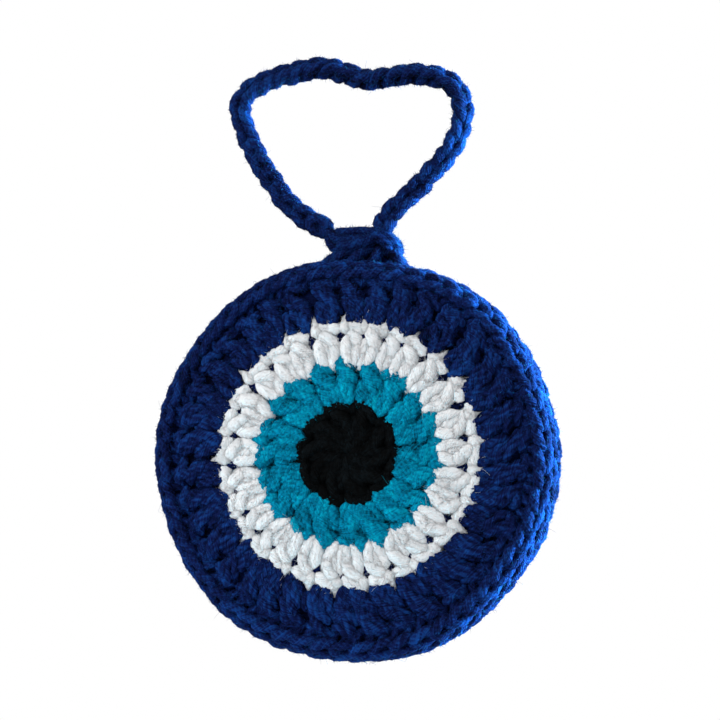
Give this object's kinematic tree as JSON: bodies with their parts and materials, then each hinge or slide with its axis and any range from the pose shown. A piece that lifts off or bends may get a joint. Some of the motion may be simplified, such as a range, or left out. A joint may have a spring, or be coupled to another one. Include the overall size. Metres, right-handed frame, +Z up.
{
  "type": "crocheted evil eye ornament",
  "caption": "Round stuffed crochet ornament with concentric eye rings on both faces, an edged rim, and a chain loop on a short tab to hang it by.",
  "frame": {"origin": "where a hook carries the loop: the inside of the loop's top, straight above the middle of the disc", "axes": "+Z up, -Y out of the front face, +Y out of the back face, +X to the viewer's right"},
  "size_m": [0.1, 0.022, 0.152],
  "materials": {
    "black_yarn": "matt plied acrylic yarn, slightly fuzzy",
    "teal_yarn": "soft-sheen plied acrylic yarn",
    "white_yarn": "soft-sheen plied acrylic yarn",
    "blue_yarn": "soft-sheen plied acrylic yarn, deep in the gaps",
    "fibre_filling": "loose polyester fibre"
  },
  "bodies": {
    "loop": {"hanging_loop": "blue_yarn"},
    "tab": {"hanger_tab": "blue_yarn"},
    "tie": {"tab_tie": "blue_yarn"},
    "disc": {"front_pupil": "black_yarn", "front_iris": "teal_yarn", "front_white_round": "white_yarn", "front_blue_round": "blue_yarn", "front_edge_round": "blue_yarn", "front_pupil_knot": "black_yarn", "front_iris_knot": "teal_yarn", "front_white_knot": "white_yarn", "back_pupil": "black_yarn", "back_iris": "teal_yarn", "back_white_round": "white_yarn", "back_blue_round": "blue_yarn", "back_edge_round": "blue_yarn", "back_pupil_knot": "black_yarn", "back_iris_knot": "teal_yarn", "back_white_knot": "white_yarn", "joining_round": "blue_yarn", "stuffing": "fibre_filling"}
  },
  "joints": [
    {"name": "loop_twist", "type": "hinge", "parent": "loop", "child": "tab", "pos_m": [0.0028, 0, -0.038], "axis": [0, 0, 1], "range_deg": [-60, 60]},
    {"name": "side_sway", "type": "hinge", "parent": "tab", "child": "tie", "pos_m": [0.0028, 0, -0.04185], "axis": [0, 1, 0], "range_deg": [-10, 10]},
    {"name": "face_swing", "type": "hinge", "parent": "tie", "child": "disc", "pos_m": [0.0028, 0, -0.04185], "axis": [1, 0, 0], "range_deg": [-42, 42]}
  ]
}
